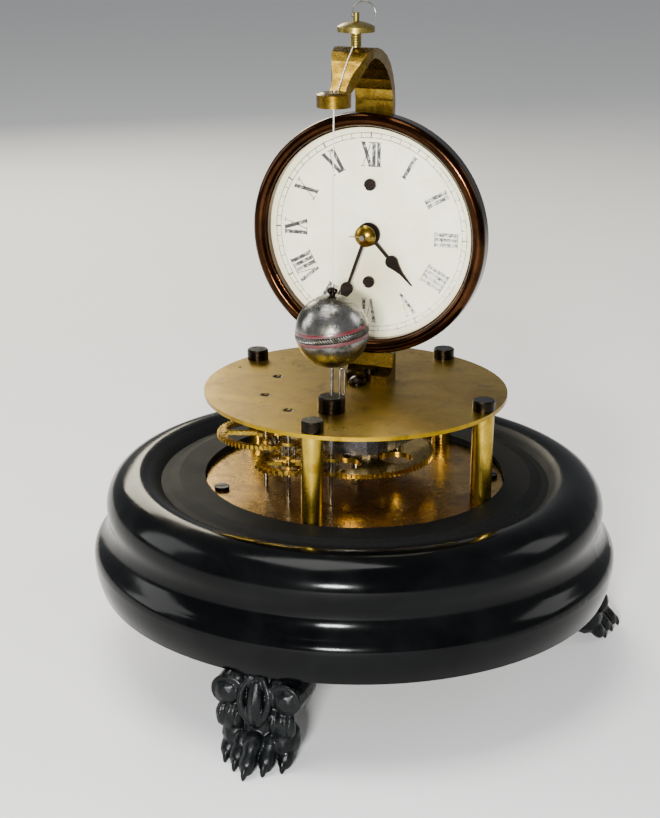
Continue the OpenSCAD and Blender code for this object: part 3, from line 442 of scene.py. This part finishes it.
def smooth_path(points, steps=8):
    """Catmull-Rom points through (x, y, z, radius) knots."""
    p = [Vector(q) for q in points]
    p = [p[0] * 2 - p[1]] + p + [p[-1] * 2 - p[-2]]
    path = []
    for i in range(1, len(p) - 2):
        for k in range(steps):
            t = k / steps
            path.append(0.5 * ((2 * p[i]) + (p[i + 1] - p[i - 1]) * t
                               + (2 * p[i - 1] - 5 * p[i] + 4 * p[i + 1] - p[i + 2]) * t * t
                               + (3 * p[i] - p[i - 1] - 3 * p[i + 1] + p[i + 2]) * t ** 3))
    path.append(p[-2])
    return path


def worm(bm, points, steps=8, detail=1):
    """A tube of blobs along (x, y, z, radius) knots."""
    for q in smooth_path([tuple(q) for q in points], steps):
        blob(bm, q[:3], max(q[3], 0.12), detail=detail)


def remeshed(bm, voxel, smooth_steps):
    """One closed skin over all the blobs."""
    mesh = bpy.data.meshes.new("sculpt")
    bm.to_mesh(mesh)
    bm.free()
    o = bpy.data.objects.new("sculpt", mesh)
    bpy.context.scene.collection.objects.link(o)
    skin = o.modifiers.new("skin", "REMESH")
    skin.mode = "VOXEL"
    skin.voxel_size = voxel
    soft = o.modifiers.new("soft", "SMOOTH")
    soft.factor = 0.5
    soft.iterations = smooth_steps
    result = bpy.data.meshes.new_from_object(o.evaluated_get(bpy.context.evaluated_depsgraph_get()))
    bpy.data.objects.remove(o)
    return result


# ---------- claw feet ----------
DRAWN_FOOT = 22.7  # the height that the foot's points are drawn for


def sculpt_foot(top):
    """Local +X points away from the clock's axis, Z up, millimetres."""
    bm = bmesh.new()
    k = top / DRAWN_FOOT
    # shin and the block under the base
    worm(bm, [(59, 0, 21.5, 6.2), (60, 0, 16, 5.9), (60.5, 0, 11.5, 5.4), (61, 0, 7.6, 5.4)], 5, 2)
    for y in (-5, 0, 5):
        worm(bm, [(54, y, 20.4, 2.6), (60, y, 20.6, 2.6), (63.6, y, 20.4, 2.4)], 4, 2)
    for s in (-1, 1):
        cy, cz = s * 6.9, 17.7
        # scroll: drum, spiral rim and a rosette in the eye
        worm(bm, [(55.5, cy, cz, 3.5), (60, cy, cz, 3.9), (63.9, cy, cz, 3.7)], 4, 2)
        coil = []
        for i in range(34):
            a = math.radians(205 - i * 15.5)
            r = 3.95 - 2.35 * i / 33
            coil.append((65.3 + 0.9 * i / 33, cy + s * r * math.cos(a), cz + r * math.sin(a),
                         0.86 - 0.3 * i / 33))
        worm(bm, coil, 3)
        blob(bm, (66.2, cy, cz), (1.0, 1.25, 1.25))
        for i in range(6):
            a = i * math.pi / 3
            blob(bm, (66.9, cy + 0.85 * math.cos(a), cz + 0.85 * math.sin(a)), 0.45, detail=1)
        # leaf lobes that droop from the scroll to the ankle
        for y0, y1, z1, r0 in ((7.6, 7.9, 8.6, 1.35), (5.6, 6.0, 7.6, 1.5), (3.7, 4.1, 8.8, 1.2)):
            worm(bm, [(64.2, s * y0, 15.4, 0.9), (65.9, s * (y0 + 0.5), 12.6, r0),
                      (65.6, s * y1, 10.2, r0 * 1.05), (64.9, s * (y1 - 0.3), z1, 0.55)], 6)
            worm(bm, [(65.4, s * (y0 + 0.1), 14.4, 0.3), (67.1, s * (y0 + 0.5), 12.3, 0.32),
                      (66.8, s * y1, 10.2, 0.3)], 6)
        # ridge of the middle leaf, curling in below
        worm(bm, [(64.9, s * 1.5, 22.0, 0.75), (66.2, s * 3.2, 18.4, 0.85), (66.9, s * 2.9, 14.6, 0.95),
                  (66.7, s * 1.2, 11.2, 0.85)], 8)
        # haunch behind the outer toe
        blob(bm, (62, s * 5.6, 6.4), (4.8, 3.6, 4.8))
    # middle leaf: tongue and rib
    worm(bm, [(65.0, 0, 20.4, 1.5), (65.9, 0, 16.4, 2.0), (66.1, 0, 12.6, 1.7), (65.6, 0, 10.0, 0.7)], 8, 2)
    worm(bm, [(66.6, 0, 19.6, 0.35), (67.9, 0, 16.0, 0.42), (67.8, 0, 12.6, 0.35)], 8)
    # toes: joint, knuckle, pad and hooked claw
    for i in range(-2, 3):
        reach = 1 - abs(i) * 0.042
        y0, y1 = i * 2.6, i * 3.35
        worm(bm, [(60.5, y0, 6.6, 2.3), (64.4 * reach + 2.4 * (1 - reach), y0 * 1.12, 7.2, 2.0),
                  (67.6 * reach, y1 * 0.98, 6.7, 2.1), (69.6 * reach, y1, 4.9, 1.75),
                  (71.0 * reach, y1, 3.1, 1.95), (71.7 * reach, y1, 2.1, 1.6)], 7, 2)
        blob(bm, (67.9 * reach, y1 * 0.99, 7.7), (1.2, 1.15, 0.9))
        worm(bm, [(71.6 * reach, y1, 3.4, 1.0), (72.8 * reach, y1, 2.6, 0.95),
                  (73.5 * reach, y1, 1.4, 0.8), (73.8 * reach, y1, 0.6, 0.5)], 7)
    for v in bm.verts:
        v.co.z = min(max(v.co.z * k, 0.0), top)
    return remeshed(bm, 0.27, 2)


def fit_to_box(mesh, lo, hi):
    """Scales the mesh so that it fills the box exactly."""
    a = Vector([min(v.co[i] for v in mesh.vertices) for i in range(3)])
    b = Vector([max(v.co[i] for v in mesh.vertices) for i in range(3)])
    for v in mesh.vertices:
        v.co = Vector([lo[i] + (v.co[i] - a[i]) * (hi[i] - lo[i]) / (b[i] - a[i]) for i in range(3)])


front_lo, front_hi = (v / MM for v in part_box("foot_front"))
foot_mesh = sculpt_foot(front_hi.z)
half = (front_hi.x - front_lo.x) / 2
fit_to_box(foot_mesh, (52.5 * MM, -half * MM, 0.0), (-front_lo.y * MM, half * MM, front_hi.z * MM))
for i, name in enumerate(("foot_front", "foot_right", "foot_left")):
    mesh = foot_mesh.copy()
    mesh.transform(Matrix.Rotation(math.radians(-90 + 120 * i), 4, "Z"))
    claw = place_mesh(name + "_sculpt", mesh, "frame", iron)
    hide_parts(name)


# ---------- dial print ----------
def bar(bm, a, b, wa, wb=None, lift=0.02):
    """A printed stroke from a to b on the dial, with its width at each end."""
    wb = wa if wb is None else wb
    a, b = Vector(a), Vector(b)
    n = Vector((-(b - a).y, (b - a).x)).normalized()
    quad = [a + n * wa / 2, a - n * wa / 2, b - n * wb / 2, b + n * wb / 2]
    front = [bm.verts.new((q.x, -lift, q.y)) for q in quad]
    back = [bm.verts.new((q.x, -0.002, q.y)) for q in quad]
    bm.faces.new(front)
    for i in range(4):
        j = (i + 1) % 4
        bm.faces.new((front[i], back[i], back[j], front[j]))
    return front + back


STEM, HAIR, TALL = 0.92, 0.2, 6.1
NUMERAL_R, TRACK_IN, TRACK_OUT = 16.75, 23.9, 25.1
WIDTH = {"I": 1.5, "V": 3.0, "X": 3.0}


def glyph(bm, letter, x):
    """Draws one letter of a numeral with its left edge at x, feet on y = 0."""
    w, made = WIDTH[letter], []
    c = x + w / 2
    if letter == "I":
        made += bar(bm, (c, 0.1), (c, TALL - 0.1), STEM)
        made += bar(bm, (c - 0.75, 0.1), (c + 0.75, 0.1), HAIR)
        made += bar(bm, (c - 0.75, TALL - 0.1), (c + 0.75, TALL - 0.1), HAIR)
    if letter == "V":
        made += bar(bm, (x + 0.5, TALL - 0.1), (c, 0.1), STEM, 0.7)
        made += bar(bm, (x + w - 0.35, TALL - 0.1), (c, 0.1), HAIR)
        made += bar(bm, (x - 0.1, TALL - 0.1), (x + 1.2, TALL - 0.1), HAIR)
        made += bar(bm, (x + w - 0.9, TALL - 0.1), (x + w + 0.1, TALL - 0.1), HAIR)
    if letter == "X":
        made += bar(bm, (x + 0.5, TALL - 0.1), (x + w - 0.5, 0.1), STEM)
        made += bar(bm, (x + w - 0.4, TALL - 0.1), (x + 0.4, 0.1), HAIR)
        for yy in (0.1, TALL - 0.1):
            made += bar(bm, (x - 0.1, yy), (x + 1.15, yy), HAIR)
            made += bar(bm, (x + w - 1.15, yy), (x + w + 0.1, yy), HAIR)
    return made


def dial_print():
    """Twelve numerals, feet towards the centre."""
    bm = bmesh.new()
    words = ["XII", "I", "II", "III", "IIII", "V", "VI", "VII", "VIII", "IX", "X", "XI"]
    for hour, word in enumerate(words):
        total = sum(WIDTH[c] for c in word) * 0.86
        verts, x = [], -total / 2
        for letter in word:
            verts += glyph(bm, letter, x)
            x += WIDTH[letter] * 0.86
        turn = Matrix.Rotation(math.radians(30 * hour), 4, "Y")
        for v in verts:
            v.co = turn @ (v.co + Vector((0, 0, NUMERAL_R)))
    return bm


def track_print():
    """Two rings with minute strokes between, bolder at the fives."""
    bm = bmesh.new()
    n = 240
    steps = [2 * math.pi * i / n for i in range(n)]
    for r in (TRACK_IN, TRACK_OUT):
        rings = [[bm.verts.new((rr * math.cos(a), -0.02, rr * math.sin(a))) for a in steps]
                 for rr in (r - 0.085, r + 0.085)]
        for i in range(n):
            j = (i + 1) % n
            bm.faces.new((rings[0][i], rings[1][i], rings[1][j], rings[0][j]))
    for i in range(60):
        a = math.radians(6 * i)
        d = Vector((math.sin(a), math.cos(a)))
        end, wide = (TRACK_OUT, 0.16) if i % 5 else (TRACK_OUT + 0.2, 0.34)
        bar(bm, d * TRACK_IN, d * end, wide)
    return bm


def on_dial(bm):
    """Moves a print drawn about the origin on to the face of the dial."""
    bmesh.ops.translate(bm, vec=(DIAL_X, FACE_Y, DIAL_Z), verts=bm.verts)
    bmesh.ops.recalc_face_normals(bm, faces=bm.faces)
    return bm


add_piece("dial_numerals", on_dial(dial_print()), "frame", ink, smooth=False)
add_piece("minute_track", on_dial(track_print()), "frame", ink, smooth=False)


# ---------- ball trim ----------
ball_lo, ball_hi = (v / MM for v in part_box("ball"))
BALL = (ball_lo + ball_hi) / 2
BALL_R = (ball_hi.x - ball_lo.x) / 2
tilt = (Matrix.Translation(BALL) @ Matrix.Rotation(math.radians(20), 4, "Z")
        @ Matrix.Rotation(math.radians(-8), 4, "Y"))


def rope_band(count=84):
    """Slanted strands laid side by side round the ball."""
    bm = bmesh.new()
    for i in range(count):
        a = 2 * math.pi * i / count
        m = (tilt @ Matrix.Rotation(a, 4, "Z") @ Matrix.Translation((BALL_R - 0.02, 0, 0))
             @ Matrix.Rotation(math.radians(38), 4, "X") @ Matrix.Diagonal((0.2, 0.29, 0.86, 1)))
        bmesh.ops.create_icosphere(bm, subdivisions=2, radius=1, matrix=m)
    return bm


def red_line(side):
    """A low ridge of lacquer beside the band."""
    bm = bmesh.new()
    n, rings = 128, []
    for k in range(7):
        h = 0.78 + 0.87 * k / 6
        swell = 0.05 * math.sin(math.pi * k / 6) - 0.01
        r = math.sqrt(BALL_R ** 2 - h * h) + swell
        rings.append([bm.verts.new(tilt @ Vector((r * math.cos(2 * math.pi * i / n),
                                                  r * math.sin(2 * math.pi * i / n), side * h)))
                      for i in range(n)])
    for lower, upper in zip(rings, rings[1:]):
        for i in range(n):
            j = (i + 1) % n
            bm.faces.new((lower[i], lower[j], upper[j], upper[i]))
    bmesh.ops.recalc_face_normals(bm, faces=bm.faces)
    return bm


# painted shade: the band under the rope strands is near-black steel, so the gaps between the strands read
# as shade
for s in NODES["ball_band"].material_slots:
    s.material = nut_steel
add_piece("rope_band", rope_band(), "pendulum", silver)
add_piece("red_line_upper", red_line(1), "pendulum", red)
add_piece("red_line_lower", red_line(-1), "pendulum", red)


# ---------- floor ----------
def pale_floor():
    m = Mat("pale_floor", ior=1.4)
    colour = m.mix((0.86, 0.86, 0.85), (0.83, 0.83, 0.82), m.noise(40, 3))
    return m.done(colour, 0.7)


bm = bmesh.new()
bmesh.ops.create_grid(bm, x_segments=2, y_segments=2, size=3)
mesh = bpy.data.meshes.new("floor")
bm.to_mesh(mesh)
bm.free()
floor = bpy.data.objects.new("floor", mesh)
floor.data.materials.append(pale_floor())
bpy.context.scene.collection.objects.link(floor)
